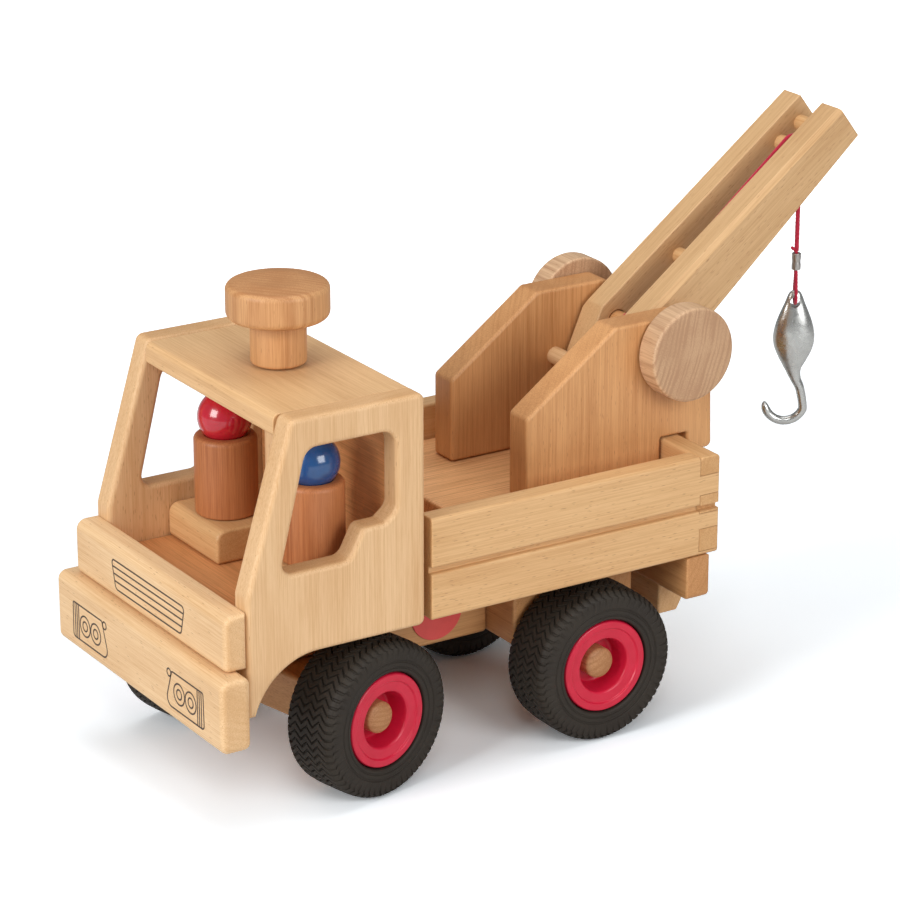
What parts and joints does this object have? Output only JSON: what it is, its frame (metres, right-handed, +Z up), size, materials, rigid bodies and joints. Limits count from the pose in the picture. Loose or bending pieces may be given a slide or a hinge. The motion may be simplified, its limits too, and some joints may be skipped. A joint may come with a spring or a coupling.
{
  "type": "toy crane truck",
  "caption": "Wooden toy crane truck with a steering knob, rolling wheels, two peg figures, a lift-off crane insert, a tilting boom and a hand winch with cord and hook.",
  "frame": {"origin": "on the ground, under the middle of the toy's length and width, in the pictured pose", "axes": "+X towards the truck's left side, +Y towards its rear, +Z up"},
  "size_m": [0.16, 0.3872, 0.272],
  "materials": {
    "beech": "pale beech, smooth sanded and oiled, satin",
    "beech_warm": "warm steamed beech, smooth sanded, satin",
    "beech_end_grain": "beech end grain, sanded, matt",
    "red_paint": "red gloss lacquer on a wooden ball",
    "blue_paint": "blue gloss lacquer on a wooden ball",
    "red_plastic": "moulded red plastic, semi gloss",
    "rubber": "black rubber with moulded tread",
    "steel": "plain steel",
    "cast_metal": "satin grey casting",
    "red_cord": "twisted red polyester cord",
    "red_film": "plain red paper disc"
  },
  "bodies": {
    "truck": {"chassis_beam": "beech_warm", "rear_axle_block": "beech_warm", "rear_axle_bar": "beech_warm", "tail_block": "beech", "rear_board": "beech_warm", "round_badge": "red_film", "bumper_carrier": "beech_warm", "cab_panel_left": "beech", "cab_panel_right": "beech", "roof_board": "beech", "cab_rear_wall": "beech_warm", "cab_floor": "beech_warm", "grille_board": "beech", "bumper_board": "beech", "seat_left": "beech_warm", "seat_right": "beech_warm", "bed_floor": "beech_warm", "side_board_left": "beech", "side_board_right": "beech", "tailboard": "beech"},
    "steering": {"steering_knob": "beech_warm", "steering_column": "beech", "front_axle_block": "beech_warm"},
    "front_wheels": {"front_axle": "steel", "front_tyre_left": "rubber", "front_tyre_right": "rubber", "front_rim_left": "red_plastic", "front_rim_right": "red_plastic", "front_hub_cap_left": "beech_end_grain", "front_hub_cap_right": "beech_end_grain"},
    "rear_wheels": {"rear_axle": "steel", "rear_tyre_left": "rubber", "rear_tyre_right": "rubber", "rear_rim_left": "red_plastic", "rear_rim_right": "red_plastic", "rear_hub_cap_left": "beech_end_grain", "rear_hub_cap_right": "beech_end_grain"},
    "crane": {"base_plate": "beech_warm", "cheek_left": "beech", "cheek_right": "beech", "crossbar": "beech"},
    "boom": {"boom_rail_left": "beech", "boom_rail_right": "beech", "boom_tip_dowel": "beech", "boom_guide_dowel": "beech", "boom_middle_dowel": "beech", "boom_cord": "red_cord"},
    "winch": {"winch_axle": "beech", "winch_disc_left": "beech_end_grain", "winch_disc_right": "beech_end_grain", "cord_winding": "red_cord"},
    "cord_drop": {"hanging_cord": "red_cord"},
    "hook_set": {"ferrule": "steel", "cord_loop": "red_cord", "hook": "cast_metal"},
    "driver": {"driver_body": "beech_warm", "driver_head": "blue_paint"},
    "passenger": {"passenger_body": "beech_warm", "passenger_head": "red_paint"}
  },
  "joints": [
    {"name": "steering_turn", "type": "hinge", "parent": "truck", "child": "steering", "pos_m": [0, -0.11695, 0.0376], "axis": [0, 0, 1], "range_deg": [-28, 2.8]},
    {"name": "front_wheel_spin", "type": "hinge", "parent": "steering", "child": "front_wheels", "pos_m": [0, -0.11945, 0.0376], "axis": [0.9755, 0.2198, 0], "continuous": true},
    {"name": "rear_wheel_spin", "type": "hinge", "parent": "truck", "child": "rear_wheels", "pos_m": [0, 0.01475, 0.0376], "axis": [1, 0, 0], "continuous": true},
    {"name": "crane_lift", "type": "slide", "parent": "truck", "child": "crane", "axis": [0, 0, 1], "range_m": [0, 0.06]},
    {"name": "boom_tilt", "type": "hinge", "parent": "crane", "child": "boom", "pos_m": [0, 0.07555, 0.175], "axis": [1, 0, 0], "range_deg": [0, 35]},
    {"name": "winch_turn", "type": "hinge", "parent": "crane", "child": "winch", "pos_m": [0, 0.07555, 0.175], "axis": [1, 0, 0], "range_deg": [0, 276]},
    {"name": "cord_swing", "type": "hinge", "parent": "boom", "child": "cord_drop", "pos_m": [0, 0.17095, 0.2498], "axis": [1, 0, 0], "range_deg": [-35, 0]},
    {"name": "hook_hoist", "type": "slide", "parent": "cord_drop", "child": "hook_set", "axis": [0, 0, 1], "range_m": [0, 0.04], "deforming": ["hanging_cord"]},
    {"name": "driver_lift", "type": "slide", "parent": "truck", "child": "driver", "axis": [0, 0, 1], "range_m": [0, 0.009]},
    {"name": "passenger_lift", "type": "slide", "parent": "truck", "child": "passenger", "axis": [0, 0, 1], "range_m": [0, 0.009]}
  ],
  "couplings": [
    {"joint": "cord_swing", "follows": "boom_tilt", "ratio": -1},
    {"joint": "hook_hoist", "follows": "winch_turn", "m_per_rad": 0.0083}
  ]
}
